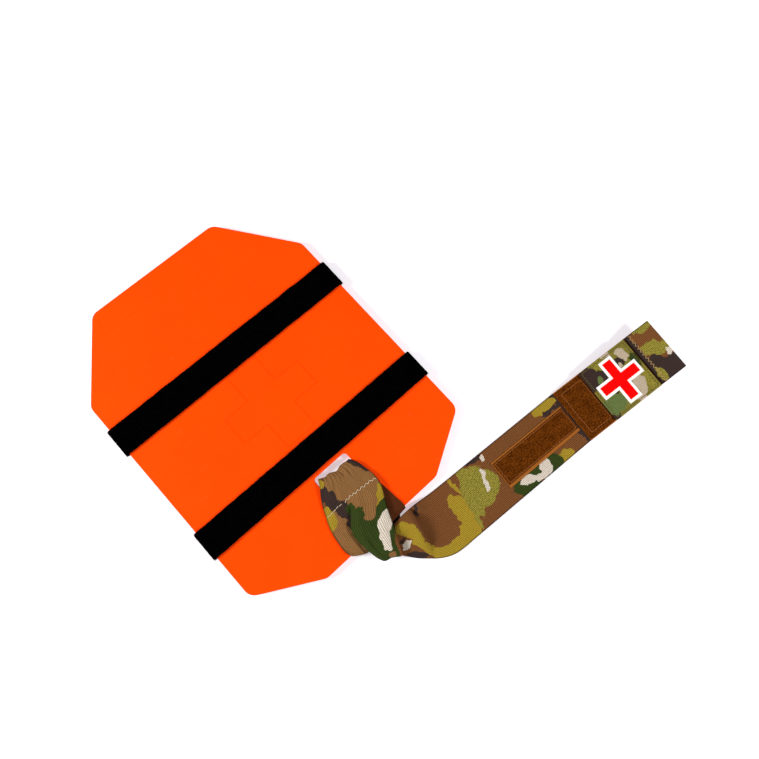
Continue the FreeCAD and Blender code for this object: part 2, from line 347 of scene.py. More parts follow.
def straight_seam(start, end):
    """Pairs of (u, v) ends for a running seam."""
    a, b = Vector(start), Vector(end)
    count = max(1, round((b - a).length / STITCH_PITCH))
    step = (b - a) / count
    keep = STITCH_LENGTH / STITCH_PITCH
    return [(a + step * (k + (1 - keep) / 2), a + step * (k + (1 + keep) / 2)) for k in range(count)]


def zigzag_seam(start, end, height, pitch=1.9):
    """Pairs of (u, v) ends that go to and fro across the line from start to end."""
    a, b = Vector(start), Vector(end)
    count = max(2, round((b - a).length / pitch))
    step = (b - a) / count
    side = Vector((-step.y, step.x)).normalized() * height / 2
    corners = [a + step * k + (side if k % 2 else -side) for k in range(count + 1)]
    return list(zip(corners, corners[1:]))


def box_seam(low, high):
    """A running seam round a rectangle."""
    (a, b), (c, d) = low, high
    sides = [((a, b), (c, b)), ((c, b), (c, d)), ((c, d), (a, d)), ((a, d), (a, b))]
    return [pair for start, end in sides for pair in straight_seam(start, end)]


def sew(name, cloth, pairs, material, lift=0.0, rng=None, loose=0.12, radius=THREAD_RADIUS):
    """Stitches of round thread that dip into a cloth's face at both ends, from pairs of (u, v)."""
    verts, faces = [], []
    radii = [radius * r for _, _, r in STITCH_PROFILE]
    for a, b in pairs:
        shake = Vector((rng.uniform(-loose, loose), rng.uniform(-loose, loose))) if rng else Vector((0, 0))
        start, normal, _ = cloth.on(*(a + shake), lift)
        end, _, _ = cloth.on(*(b + shake), lift)
        tube([start.lerp(end, s) + normal * h for s, h, _ in STITCH_PROFILE], radii, 6, verts, faces)
    return add_mesh(name, verts, faces, material)


def fibre(root, normal, rng, length, radius, verts, faces):
    """One curled fibre that stands on a face."""
    lean, curl = (Vector([rng.uniform(-1, 1) for _ in range(3)]) for _ in range(2))
    first = (normal + lean * 0.5).normalized() * length * 0.5
    second = (normal * 0.5 + lean * 0.4 + curl * 0.8).normalized() * length * 0.5
    path = [root - normal * 0.15, root + first, root + first + second]
    tube(path, (radius, radius, radius * 0.5), 3, verts, faces)


def fibres(name, spots, material, seed, length, radius=0.05):
    """Many fibres, at (point, normal) spots."""
    rng = random.Random(seed)
    verts, faces = [], []
    for point, normal in spots:
        fibre(point, normal, rng, length * rng.uniform(0.6, 1.3), radius, verts, faces)
    return add_mesh(name, verts, faces, material)


NAP_INSET = 0.5  # fibres stay this far inside a cloth's edges


def scattered(cloth, count, seed, u_range=None):
    """Random spots on a cloth's face."""
    rng = random.Random(seed)
    u_low, u_high = u_range or (NAP_INSET, cloth.length - NAP_INSET)
    v_low, v_high = NAP_INSET - cloth.width / 2, cloth.width / 2 - NAP_INSET
    return [cloth.on(rng.uniform(u_low, u_high), rng.uniform(v_low, v_high))[:2] for _ in range(count)]


def edge_spots(cloth, count, seed):
    """Random spots along a cloth's two long edges, facing out and up."""
    rng = random.Random(seed)
    spots = []
    for _ in range(count):
        side = rng.choice((-1, 1))
        u = rng.uniform(NAP_INSET, cloth.length - NAP_INSET)
        point, normal, along = cloth.on(u, side * (cloth.width / 2 - rng.uniform(0.1, 0.6)), -0.3)
        out = normal.cross(along) * side
        spots.append((point, (out + normal * rng.uniform(-0.2, 0.8)).normalized()))
    return spots


# ---- materials ----
def linear(code):
    """Linear colour from a hexadecimal display colour."""
    parts = [int(code[k : k + 2], 16) / 255 for k in (0, 2, 4)]
    return tuple(c / 12.92 if c <= 0.04045 else ((c + 0.055) / 1.055) ** 2.4 for c in parts) + (1.0,)


class Finish:
    """A node material, with short calls for the nodes that the finishes share."""

    def __init__(self, name, roughness=0.8, specular=0.3, sheen=0.0):
        self.material = bpy.data.materials.new(name)
        self.material.use_nodes = True
        self.tree = self.material.node_tree
        self.shader = self.tree.nodes["Principled BSDF"]
        self.shader.inputs["Roughness"].default_value = roughness
        self.shader.inputs["Specular IOR Level"].default_value = specular
        self.shader.inputs["Sheen Weight"].default_value = sheen
        self.shader.inputs["Sheen Roughness"].default_value = 0.5

    def feed(self, socket, value):
        """Links a socket, or sets a plain value, on an input."""
        if isinstance(value, bpy.types.NodeSocket):
            self.tree.links.new(value, socket)
        else:
            socket.default_value = value

    def add(self, kind, inputs, **settings):
        """A node with its settings and its inputs, by name or by number."""
        made = self.tree.nodes.new(kind)
        for key, value in settings.items():
            setattr(made, key, value)
        for key, value in inputs.items():
            self.feed(made.inputs[key], value)
        return made

    def cloth_uv(self, shift=(0.0, 0.0, 0.0), stretch=(1.0, 1.0, 1.0)):
        """UV coordinates in tenths of a metre, moved and stretched."""
        uv = self.add("ShaderNodeUVMap", {}, uv_map="cloth").outputs["UV"]
        return self.add("ShaderNodeMapping", {"Vector": uv, "Location": shift, "Scale": stretch}).outputs[0]

    def object_place(self, stretch=(1.0, 1.0, 1.0)):
        """Object coordinates in metres, stretched."""
        where = self.add("ShaderNodeTexCoord", {}).outputs["Object"]
        return self.add("ShaderNodeMapping", {"Vector": where, "Scale": stretch}).outputs[0]

    def noise(self, vector, scale, detail=2.0, roughness=0.5, distortion=0.0):
        settings = {"Scale": scale, "Detail": detail, "Roughness": roughness, "Distortion": distortion}
        return self.add("ShaderNodeTexNoise", {"Vector": vector, **settings}).outputs["Fac"]

    def math(self, kind, a, b=0.0, c=0.0, clamp=False):
        return self.add("ShaderNodeMath", {0: a, 1: b, 2: c}, operation=kind, use_clamp=clamp).outputs[0]

    def vector_math(self, kind, *values):
        return self.add("ShaderNodeVectorMath", dict(enumerate(values)), operation=kind).outputs

    def step(self, value, cut, sharpness):
        """0 below cut and 1 above it, with a slope between."""
        return self.math("MULTIPLY_ADD", self.math("SUBTRACT", value, cut), sharpness, 0.5, clamp=True)

    def mix(self, share, first, second, blend="MIX"):
        colours = {0: share, 6: first, 7: second}
        return self.add("ShaderNodeMix", colours, data_type="RGBA", blend_type=blend).outputs[2]

    def split(self, vector):
        return self.add("ShaderNodeSeparateXYZ", {0: vector}).outputs

    def weave(self, pitch_u, pitch_v):
        """Height of a plain weave: yarns across, over and under ribs that run along the tape."""
        u, v, _ = self.split(self.cloth_uv())
        over = self.math("SINE", self.math("MULTIPLY", u, math.pi / (pitch_u * UV_PER_MM)))
        side = self.math("SINE", self.math("MULTIPLY", v, math.pi / (pitch_v * UV_PER_MM)))
        crossing = self.math("ABSOLUTE", self.math("MULTIPLY", over, side))
        rib = self.math("ABSOLUTE", side)
        return self.math("MULTIPLY_ADD", crossing, 0.8, self.math("MULTIPLY", rib, 0.2))

    def bump(self, height, distance_mm):
        made = self.add("ShaderNodeBump", {"Strength": 1.0, "Distance": distance_mm * MM, "Height": height})
        self.feed(self.shader.inputs["Normal"], made.outputs["Normal"])

    def colour(self, value):
        self.feed(self.shader.inputs["Base Color"], value)
        return self.material

    def shaded(self, colour, shade):
        """A colour darkened by a value from 0 to 1."""
        grey = self.add("ShaderNodeCombineXYZ", {0: shade, 1: shade, 2: shade}).outputs[0]
        return self.colour(self.mix(1.0, colour, grey, "MULTIPLY"))


CAMOUFLAGE = {
    "brown": linear("80502b"),
    "light_brown": linear("966a3e"),
    "dark_brown": linear("40312c"),
    "mustard": linear("af912c"),
    "olive": linear("a3943a"),
    "green": linear("38461a"),
    "cream": linear("e6d8c6"),
    "dark_olive": linear("4c5a24"),
    # painted shade: a flat dark brown for the eye's back half, which lies in the front half's shadow
    "painted_shade_brown": linear("5c2e14"),
    "patch_ground": linear("8a7f34"),
    "patch_green": linear("6c7c44"),
    "patch_cream": linear("ccb89e"),
}


# Noise that pushes the islands' edges about: its scale and its reach in mm.
EDGE_NOISE = ((6.0, 2.5), (22.0, 2.6))
ISLAND_SHARPNESS = 14.0
ISLAND_JOIN = 0.3  # how softly the ellipses of one layer run together


def warped(finish):
    """Cloth coordinates pushed about by noise, so that island edges wander."""
    coords = finish.cloth_uv()
    for scale, reach_mm in EDGE_NOISE:
        sample = finish.cloth_uv((4.4, 1.3, scale))
        made = finish.add("ShaderNodeTexNoise", {"Vector": sample, "Scale": scale, "Detail": 1.0})
        centred = finish.vector_math("SUBTRACT", made.outputs["Color"], (0.5, 0.5, 0.5))[0]
        coords = finish.vector_math("MULTIPLY_ADD", centred, (reach_mm * 2 * UV_PER_MM,) * 3, coords)[0]
    return coords


def island_cover(finish, coords, places):
    """1 inside a group of ellipses (u, v, half length, half width, turn in degrees), in mm."""
    nearest = None
    for u, v, half_u, half_v, turn in places:
        ellipse = {
            "Vector": coords,
            "Location": (u * UV_PER_MM, v * UV_PER_MM, 0.0),
            "Rotation": (0.0, 0.0, math.radians(turn)),
            "Scale": (half_u * UV_PER_MM, half_v * UV_PER_MM, 1000.0),
        }
        inside = finish.add("ShaderNodeMapping", ellipse, vector_type="TEXTURE").outputs[0]
        far = finish.vector_math("LENGTH", inside)["Value"]
        nearest = far if nearest is None else finish.math("SMOOTH_MIN", nearest, far, ISLAND_JOIN)
    return finish.math("SUBTRACT", 1.0, finish.step(nearest, 1.0, ISLAND_SHARPNESS))


def placed_camouflage(finish, ground, layers):
    """Generic camouflage from listed islands: layers of (colour name, ellipses)."""
    coords = warped(finish)
    colour = CAMOUFLAGE[ground]
    speckle = finish.step(finish.noise(finish.cloth_uv(), 85.0, detail=0.0), 0.56, 12.0)
    for name, places in layers:
        tint = CAMOUFLAGE[name]
        if name == "olive":
            tint = finish.mix(finish.math("MULTIPLY", speckle, 0.6), tint, CAMOUFLAGE["dark_olive"])
        colour = finish.mix(island_cover(finish, coords, places), colour, tint)
    return colour


# For cloth that mostly stays out of sight: colour, seed, noise scale and cut of each layer.
PLAIN_LAYERS = (("mustard", 1, 2.4, 0.55), ("dark_brown", 3, 3.2, 0.57), ("green", 4, 2.8, 0.6))


def scattered_camouflage(finish):
    """The same colours as islands of plain noise."""
    colour = CAMOUFLAGE["brown"]
    for name, seed, size, cut in PLAIN_LAYERS:
        coords = finish.cloth_uv((2.0 + seed * 3.7, seed * 1.9, seed * 5.3), (0.8, 1.0, 1.0))
        islands = finish.noise(coords, size, detail=1.0, roughness=0.4, distortion=0.4)
        colour = finish.mix(finish.step(islands, cut, 45.0), colour, CAMOUFLAGE[name])
    return colour


SELVAGE = 0.9  # width of the dark line along each edge of the elastic


def woven_camouflage(name, pattern, pitch=(1.2, 1.3), depth=0.3, width=None):
    """Elastic or cloth printed with pattern(finish); a width in mm gives it two dark selvages."""
    finish = Finish(name, roughness=0.9, specular=0.04, sheen=0.02)
    height = finish.weave(*pitch)
    fuzz = finish.noise(finish.cloth_uv(), 150.0, detail=2.0)
    shade = finish.math("MULTIPLY_ADD", height, 0.75, finish.math("MULTIPLY_ADD", fuzz, 0.5, 0.11))
    if width:
        _, v, _ = finish.split(finish.cloth_uv())
        inward = finish.math("MINIMUM", v, finish.math("SUBTRACT", width * UV_PER_MM, v))
        inside = finish.step(inward, SELVAGE * UV_PER_MM, 1.0 / (0.8 * UV_PER_MM))
        shade = finish.math("MULTIPLY", shade, finish.math("MULTIPLY_ADD", inside, 0.68, 0.32))
    finish.bump(height, depth)
    return finish.shaded(pattern(finish), shade)


# Islands of the strap's print, and a little painted shade: u along the strap from the start of the tail (the eye
# lies at u under -20), v across it from one edge.
STRAP_PRINT_AND_SHADE = (
    ("light_brown", ((-98, 30, 30, 26, 0), (-60, 5, 24, 10, 0))),
    ("dark_brown", (
        (-103, 3, 6, 4.5, 0), (-95, 9, 7, 6, 30), (-84, 16, 8, 6, 25), (-71, 18, 9, 5, 0),
        # (15, 24) is painted shade, the dark line of a crease's shadow by the cream island at (17, 17); (42, 46)
        # is a small dark mark at the tail's upper edge by a fold.
        (-105, 49, 10, 3.5, 10), (22, 3.5, 8, 4.5, 0), (15, 24, 5, 1.8, 45), (42, 46, 1.8, 5, -15),
        (109, 50, 8, 3.5, 0), (189, 41, 8.5, 2.4, 0), (199, 25, 2.6, 32, 0),
    )),
    ("mustard", (
        (-110, 1, 4, 4, 0), (-85, 2, 9, 6, 10), (-72, 48.5, 8, 4.5, -10),
        (18, 40, 6, 6, 0), (24, 33, 6, 7, 0), (27, 22, 5, 9, 0), (33, 11, 6, 7, 0), (42, 4, 9, 6.5, 0),
        (57, 3, 13, 6.5, 0), (70, 6, 9, 9, 0), (77, 20, 8, 16, 0), (74, 32, 4, 7, 0), (82, 42, 1.6, 8, 8),
        (187, 47.5, 12.5, 5.5, 0), (174, 3.5, 9, 6, 0),
    )),
    ("olive", (
        (98, 30, 15, 17, 0), (94, 46, 5, 8, 0), (109, 28, 8, 10, 0), (86, 18, 5, 9, 15), (81, 9, 2.5, 7, 0),
        (232, 20, 14, 10, 0), (317, 50, 10, 5, 8), (319, 29, 12, 6.5, 26),
    )),
    ("green", (
        (-52, 38, 17, 16, 0), (-76, 25, 11, 5, 38), (-67, 29, 6, 5, 0), (-62, 49, 6, 6, 0),
        (-36, 34, 12, 12, 0), (134, 7, 14, 10, 0), (158, 6, 14, 10.5, -12),
    )),
    ("light_brown", ((-72, 38, 12, 5, 15), (-80, 33, 6, 5, 0), (-33, 40, 2.5, 2.5, 0))),
    # (334, 25) is a dark band across the strap's whole width by the pull tab's end.
    ("dark_brown", ((316, 7, 13, 10, 0), (325, 18, 6, 7, 30), (334, 25, 5.5, 28, 0))),
    ("olive", ((329, 8, 3.5, 6, 0),)),
    ("cream", (
        (-51, 46, 8.5, 4.6, -25), (-42, 41, 6, 3.6, -20), (17, 17, 7.5, 2.9, 62), (107, 31, 9.5, 1.7, 68),
        (116, 46, 2.3, 2.3, 0), (136, 8, 8, 3.8, -12), (150, 4, 9.5, 4, 0), (155, 9, 5.5, 6, -20),
        (311, 19.5, 2.6, 3.6, 0),
    )),
)
PATCH_PRINT = (
    ("olive", ((20, 46, 9, 5, 0), (47, 10, 5, 12, 0))),
    ("dark_brown", (
        (5, 40, 9, 11, 0), (15, 37, 7, 5, 0), (35, 37, 5, 4, 0), (3, 4, 4, 3, 0), (16, 21, 6, 3, 0),
    )),
    ("green", ((47.5, 31, 4, 7, 0),)),
    ("patch_green", ((8, 12, 11, 9, 0), (12, 35, 3, 2.5, 0))),
    ("patch_cream", (
        (29, 50, 4.5, 3, 0), (41, 42, 4.2, 7, 10), (37, 13, 5, 10, -10), (31, 3, 5, 4, 0), (33, 34, 2, 2, 0),
    )),
)


def pile_finish(name, dark, light, speckle):
    """Napped loops, with painted shade between them and lighter tips that are partly lighter fibres and partly
    painted highlight.
    """
    finish = Finish(name, roughness=0.95, specular=0.0)
    coords = finish.cloth_uv()
    tips = finish.noise(coords, 70.0, detail=3.0, roughness=0.75)
    patches = finish.noise(coords, 14.0, detail=2.0)
    share = finish.math("MULTIPLY_ADD", tips, 2.6, -1.3)
    share = finish.math("MULTIPLY_ADD", patches, 0.6, share, clamp=True)
    highlight_share = finish.math("MULTIPLY", share, speckle * 2, clamp=True)
    finish.bump(tips, 0.6)
    return finish.colour(finish.mix(highlight_share, linear(dark), linear(light)))


def plain_weave(name, code, pitch, depth=0.15, variation=0.25):
    finish = Finish(name, roughness=0.85, specular=0.02)
    height = finish.weave(*pitch)
    patches = finish.noise(finish.cloth_uv(), 30.0, detail=3.0)
    base = finish.math("MULTIPLY_ADD", patches, 0.2, 0.8 - variation / 2)
    finish.bump(height, depth)
    return finish.shaded(linear(code), finish.math("MULTIPLY_ADD", height, variation, base))


def thread_finish(name, code):
    """Twisted thread, darker between its strands."""
    finish = Finish(name, roughness=0.7, specular=0.1)
    place = {"Vector": finish.object_place(), "Scale": 900.0}
    waves = finish.add("ShaderNodeTexWave", place, wave_type="BANDS", bands_direction="DIAGONAL")
    twist = waves.outputs["Fac"]
    finish.bump(twist, 0.05)
    dark = tuple(c * 0.6 for c in linear(code)[:3]) + (1.0,)
    return finish.colour(finish.mix(twist, dark, linear(code)))


def panel_finish():
    """Moulded orange polyethylene: an even colour, a fine grain and faint scuffs."""
    finish = Finish("panel_plastic", roughness=0.42, specular=0.05)
    coords = finish.object_place()
    grain = finish.noise(coords, 1400.0, detail=2.0)
    waves = finish.noise(coords, 22.0, detail=2.0)
    scratches = finish.noise(finish.object_place((1.0, 7.0, 1.0)), 60.0, detail=6.0, roughness=0.7)
    scuffs = finish.step(scratches, 0.66, 8.0)
    finish.bump(finish.math("MULTIPLY_ADD", waves, 3.0, finish.math("MULTIPLY", grain, 0.25)), 0.12)
    tint = finish.mix(waves, linear("ff4000"), linear("ff4700"))
    finish.feed(finish.shader.inputs["Roughness"], finish.math("MULTIPLY_ADD", scuffs, 0.18, 0.40))
    return finish.colour(finish.mix(finish.math("MULTIPLY", scuffs, 0.12), tint, linear("ff7a3a")))


PANEL_PLASTIC = panel_finish()
STRAP_CAMOUFLAGE = woven_camouflage(
    "strap_camouflage", lambda f: placed_camouflage(f, "brown", STRAP_PRINT_AND_SHADE), width=STRAP_WIDTH
)
HIDDEN_CAMOUFLAGE = woven_camouflage("strap_camouflage_behind", scattered_camouflage)
# Painted shade: one flat dark brown instead of the print, for the eye's back half in the front half's shadow.
UNDER_PAINTED_SHADE = woven_camouflage("strap_under_painted_shade", lambda f: CAMOUFLAGE["painted_shade_brown"])
PATCH_CAMOUFLAGE = woven_camouflage(
    "patch_camouflage", lambda f: placed_camouflage(f, "patch_ground", PATCH_PRINT), (0.45, 0.45), 0.12
)
BLACK_LOOP = pile_finish("black_loop", "000000", "060606", 0.4)
BLACK_FIBRE = pile_finish("black_fibre", "000000", "0a0a0a", 0.4)
BLACK_TAPE = plain_weave("black_hook_tape", "0e0e0e", (0.9, 0.9))
BLACK_HOOKS = plain_weave("black_hooks", "141414", (0.9, 0.9))
BROWN_LOOP = pile_finish("brown_loop", "351602", "80420f", 0.55)
BROWN_FIBRE = pile_finish("brown_fibre", "4e2206", "a05a24", 0.6)
BROWN_TAPE = plain_weave("brown_tape", "9a5a22", (0.8, 0.8))
TAN_THREAD = thread_finish("tan_thread", "bf9c66")
PALE_THREAD = thread_finish("pale_thread", "e4cfae")
BROWN_THREAD = thread_finish("brown_thread", "9a5a2a")
BLACK_THREAD = thread_finish("black_thread", "141414")
PATCH_THREAD = thread_finish("patch_thread", "6b5a30")
WHITE_CLOTH = plain_weave("white_cloth", "f6f4f1", (0.5, 2.0), 0.1, 0.06)
RED_CLOTH = plain_weave("red_cloth", "f50505", (0.5, 2.0), 0.1, 0.1)


def own(thing, body, slot, *nodes):
    """Gives a piece its body and hides the CAD nodes that it stands for; the slot argument is not used."""
    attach(thing, body)
    if nodes:
        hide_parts(*nodes)
    return thing


# ---- panel ----
panel = frame["nodes"]["panel"]
panel.material_slots[0].material = PANEL_PLASTIC


# ---- bands ----
def band_place(name):
    """The middle of the band, on the panel's front."""
    across = -joint_axis(f"{name}_hook_tab_peel")
    face = Vector(MOUNTS[f"{name}_band_face"]["pos_m"]) / MM
    return Place(Vector((face.x, face.y, 0)), across.cross(Vector((0, 0, 1))), across)


PANEL_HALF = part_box("panel")[1].x / MM
BAND_GAP = (30.0, 35.0)
BAND_CLEARANCE = 0.1
HINGE_SLIT = 0.2  # each side of the line where the sewn base ends and the free tab starts


def wrap_stations(place):
    """Rows round the panel, from one tape end on the back to the other."""
    front = BAND_THICKNESS / 2 + BAND_CLEARANCE
    back = -PANEL_THICKNESS - BAND_THICKNESS / 2
    centre_x, centre_z, radius = PANEL_HALF - 0.6, (front + back) / 2, (front - back) / 2

    def row(x, z):
        return [place.at(x, y, z) for y in (-BAND_WIDTH / 2, 0, BAND_WIDTH / 2)]

    def turn(side):
        """Round one edge of the panel, from back to front on the left and from front to back on the right."""
        angles = [math.radians(a) for a in range(-90, 91, 30)][::-side]
        return [
            row(side * (centre_x + radius * math.cos(a)), centre_z + radius * math.sin(a)) for a in angles
        ]

    straight = [centre_x * s for s in (-0.97, -0.6, -0.2, 0.2, 0.6, 0.97)]
    rows = [row(x, back) for x in (BAND_GAP[0], 0.0, -60.0, straight[0])]
    rows += turn(-1)
    rows += [row(x, front) for x in straight]
    rows += turn(1)
    return rows + [row(x, back) for x in (straight[-1], 75.0, BAND_GAP[1])]


def make_tape_wrap(name, place, seed):
    """The loop tape round the panel, with its nap."""
    tape = Cloth(wrap_stations(place), BAND_THICKNESS, BAND_WIDTH, 1.2)

    def soften(u, v, point):
        """A wavy edge and a slightly uneven face."""
        edge = waver(u, v, 7.0, 0.35, seed) * abs(v) / (BAND_WIDTH / 2)
        return place.y * edge + place.z * waver(u, v, 5.0, 0.1, seed + 1)

    tape.shift(soften)
    wrap = tape.build(f"{name}_band_tape", BLACK_LOOP, lambda u, v: 0.25 * abs(noise.noise((u, v, seed))))
    nap = edge_spots(tape, 2600, seed) + scattered(tape, 1600, seed + 1)
    pile = fibres(f"{name}_band_pile", nap, BLACK_FIBRE, seed + 2, 1.1, 0.045)
    own(wrap, "panel", "black_loop_tape", f"{name}_band")
    own(pile, "panel", "black_loop_tape")


def back_tape(place, start, length, thickness):
    """Flat hook tape on the back of the band; a negative length turns its face down."""
    level = -PANEL_THICKNESS - BAND_THICKNESS - thickness / 2
    half = HOOK_WIDTH / 2
    rows = [[place.at(x, y, level) for y in (-half, 0, half)] for x in (start, start + length)]
    return Cloth(rows, thickness, HOOK_WIDTH, 1.5)


def make_hook_end(name, place):
    """The sewn base behind the band, and the free tab with its hooks."""
    base_end = BAND_GAP[1] + HINGE_SLIT + HOOK_BASE_LENGTH
    base = back_tape(place, base_end, -HOOK_BASE_LENGTH, HOOK_BASE_THICKNESS)
    base_piece = base.build(f"{name}_band_hook_end", BLACK_TAPE)
    reach = HOOK_WIDTH / 2 - 1.5
    pairs = [pair for u in (2.3, 7.2) for pair in straight_seam((u, -reach), (u, reach))]
    thread = sew(f"{name}_band_thread", base, pairs, BLACK_THREAD, -0.12)
    own(base_piece, "panel", "black_hook_tape", f"{name}_band_hook_base")
    own(thread, "panel", "black_thread", f"{name}_band_stitching")

    tab_end = BAND_GAP[1] - HINGE_SLIT - HOOK_TAB_LENGTH
    tab = back_tape(place, tab_end, HOOK_TAB_LENGTH, HOOK_TAB_THICKNESS)
    tab_piece = tab.build(f"{name}_band_hook_flap", BLACK_TAPE)
    hooks = make_hooks(f"{name}_band_hooks", tab, 1.6, BLACK_HOOKS)
    own(tab_piece, f"{name}_hook_tab", "black_hook_tape", f"{name}_band_hook_tab")
    own(hooks, f"{name}_hook_tab", "black_hook_tape")


def make_hooks(name, cloth, pitch, material):
    """Rows of small moulded hooks on a cloth's face."""
    verts, faces = [], []
    for i in range(1, int(cloth.length / pitch)):
        for j in range(1, int(cloth.width / pitch)):
            root, normal, along = cloth.on(i * pitch, j * pitch - cloth.width / 2)
            ahead = along if j % 2 else -along
            path = [root - normal * 0.1, root + normal * 0.25, root + normal * 0.36 + ahead * 0.16]
            tube(path, (0.14, 0.1, 0.08), 4, verts, faces)
    return add_mesh(name, verts, faces, material)


for band_seed, band_name in ((11, "upper"), (23, "lower")):
    band_at = band_place(band_name)
    make_tape_wrap(band_name, band_at, band_seed)
    make_hook_end(band_name, band_at)


# ---- the strap's eye ----
def points(*triples):
    return [Vector(t) for t in triples]


def gathered(left, right, bow, rise, ripple, turns=4.5, count=11):
    """A row across the strap between two edge points, bowed towards -Y, raised in the middle and rippled."""
    left, right = Vector(left), Vector(right)
    row = []
    for k in range(count):
        share = k / (count - 1)
        swell = math.sin(math.pi * share)
        height = rise * swell**0.6 + ripple * swell**0.5 * math.cos(2 * math.pi * turns * share)
        row.append(left.lerp(right, share) + Vector((0, -bow * swell, height)))
    return row


# The eye's top edge in the slot: x and y, and how high the cloth stands there from 0 to 1.
SLOT_ROW = (
    (-14.4, -84.2, 0.0), (-11.8, -85.6, 0.35), (-8.6, -86.8, 0.85), (-5.2, -86.6, 1.0), (-2.2, -87.6, 0.8),
    (0.9, -89.2, 0.35), (3.4, -89.0, 0.5), (6.2, -88.0, 1.0), (9.4, -88.1, 0.9), (12.6, -88.7, 0.6),
    (16.0, -88.6, 0.0),
)


def rippled(row, low, shift, swell, widen=1.0):
    """A row that follows another, shifted along Y and raised where that one stands high."""
    return [Vector((x * widen, y + shift, low + swell * stand)) for x, y, stand in row]


# The eye from below the bar to where it turns under the tail: eleven points across the strap in each row.
EYE_ROWS = (
    (
        (-32.8, -119, 1.2), (-27.6, -119, 1.7), (-22.0, -119, 1.8), (-16.4, -119, 1.7), (-11.0, -119, 1.5),
        (-8.0, -118.5, 3.7), (-2.6, -119, 4.9), (3.4, -119, 4.4), (9.6, -119, 4.6), (15.8, -119.3, 3.7),
        (21.3, -119.6, 3.1),
    ),
    (
        (-34.5, -126, 1.1), (-29.4, -126.5, 1.6), (-24.2, -127, 1.7), (-19.0, -127.5, 1.3),
        (-13.6, -127, 1.7), (-15.6, -126, 4.3), (-8.6, -126, 6.3), (-0.6, -126.5, 5.3), (6.4, -126.5, 5.6),
        (12.6, -126.8, 4.4), (17.9, -127, 3.6),
    ),
    (
        (-35.5, -133, 1.1), (-30.4, -134, 1.7), (-25.2, -134.5, 1.8), (-20.4, -134.5, 1.3),
        (-16.2, -134.5, 2.0), (-21.0, -133.0, 4.6), (-15.2, -133.2, 7.1), (-7.4, -133.5, 6.0),
        (0.0, -133.5, 6.3), (7.6, -133.5, 4.8), (14.4, -133.5, 4.0),
    ),
    (
        (-35.9, -139.5, 1.1), (-31.0, -141, 1.6), (-25.8, -142, 1.7), (-20.4, -142, 1.3),
        (-16.0, -142, 2.2), (-22.4, -141, 4.6), (-17.6, -141.5, 7.3), (-10.6, -141.5, 7.0),
        (-3.0, -141.5, 5.4), (4.2, -141.5, 6.0), (10.3, -141.5, 4.6),
    ),
    (
        (-35.0, -144.5, 0.9), (-30.5, -147.5, 1.1), (-25.8, -149.6, 1.0), (-20.5, -150, 0.8),
        (-15.5, -150, 2.0), (-21.8, -149.5, 4.4), (-18.6, -150, 7.2), (-11.6, -150, 6.2), (-5.4, -150, 7.4),
        (1.2, -150, 6.2), (7.0, -149.6, 4.8),
    ),
    (
        (-32.8, -147.0, -1.8), (-28.2, -150.2, -1.9), (-23.0, -152.8, -2.0), (-18.0, -153.5, -1.4),
        (-14.5, -156, 1.4), (-20.6, -157, 3.4), (-18.0, -158, 6.2), (-12.2, -158, 5.8), (-6.6, -158.5, 6.9),
        (-1.4, -158, 5.8), (3.7, -157.4, 4.5),
    ),
    (
        (-29.0, -144.6, -4.0), (-25.5, -147.0, -4.2), (-21.0, -149.0, -4.3), (-16.5, -151.0, -3.6),
        (-13.5, -161.0, 0.2), (-19.0, -162.5, 1.8), (-17.2, -164.8, 4.2), (-12.4, -165.0, 5.2),
        (-7.6, -166.2, 5.4), (-3.2, -165.6, 5.0), (0.2, -164.6, 4.0),
    ),
    (
        (-25.0, -141.5, -4.4), (-22.5, -143.5, -4.6), (-19.0, -146.0, -4.6), (-15.5, -149.0, -4.2),
        (-13.0, -161.0, -2.0), (-17.0, -165.0, 0.0), (-15.6, -167.4, 1.6), (-11.8, -168.4, 2.4),
        (-8.2, -170.6, 2.8), (-5.2, -172.6, 3.0), (-3.2, -171.8, 3.4),
    ),
    (
        (-22.0, -139.5, -4.5), (-20.0, -141.5, -4.7), (-17.0, -144.5, -4.7), (-14.5, -148.0, -4.6),
        (-12.5, -157.0, -3.8), (-15.2, -161.0, -2.4), (-14.6, -165.0, 0.0), (-11.4, -167.0, 1.2),
        (-8.3, -169.4, 1.6), (-5.6, -171.2, 1.8), (-3.6, -170.6, 2.2),
    ),
)


def eye_stations():
    """From inside the slot, over the bar's front, to where the cloth turns under the tail."""
    return [
        rippled(SLOT_ROW, -4.4, -1.6, 0.3),
        rippled(SLOT_ROW, -1.8, 0.0, 0.2),
        rippled(SLOT_ROW, 1.2, -0.4, 1.0),
        rippled(SLOT_ROW, 2.4, -3.8, 1.3, 1.12),
        gathered((-24.4, -100.0, 1.2), (20.6, -101.6, 2.0), 1.0, 2.4, 0.5),
        gathered((-29.4, -110.8, 1.2), (22.2, -112.2, 2.6), -1.0, 1.5, 0.2, 3.0),
    ] + [points(*row) for row in EYE_ROWS]


# The eye's back half, seen beside the front one, down to the panel's end; it is painted one flat dark brown,
# painted shade for the front half's shadow on it.
UNDER_ROWS = (
    ((2.0, -114, 0.85), (12.0, -114, 0.85), (21.0, -114, 0.85)),
    ((2.0, -125, 0.85), (12.5, -125, 0.9), (22.3, -125, 0.85)),
    ((2.0, -137, 0.85), (13.0, -137, 1.1), (23.3, -137, 0.85)),
    ((1.0, -144.5, 0.85), (13.0, -144.5, 1.2), (24.0, -144.3, 0.85)),
    ((0.0, -147.8, -0.8), (12.0, -148.2, -0.7), (23.6, -147.6, -0.8)),
    ((-1.0, -147.6, -3.4), (11.0, -148.0, -3.4), (22.0, -147.0, -3.4)),
    ((-2.0, -143, -4.4), (10.0, -143, -4.4), (20.0, -143, -4.4)),
)


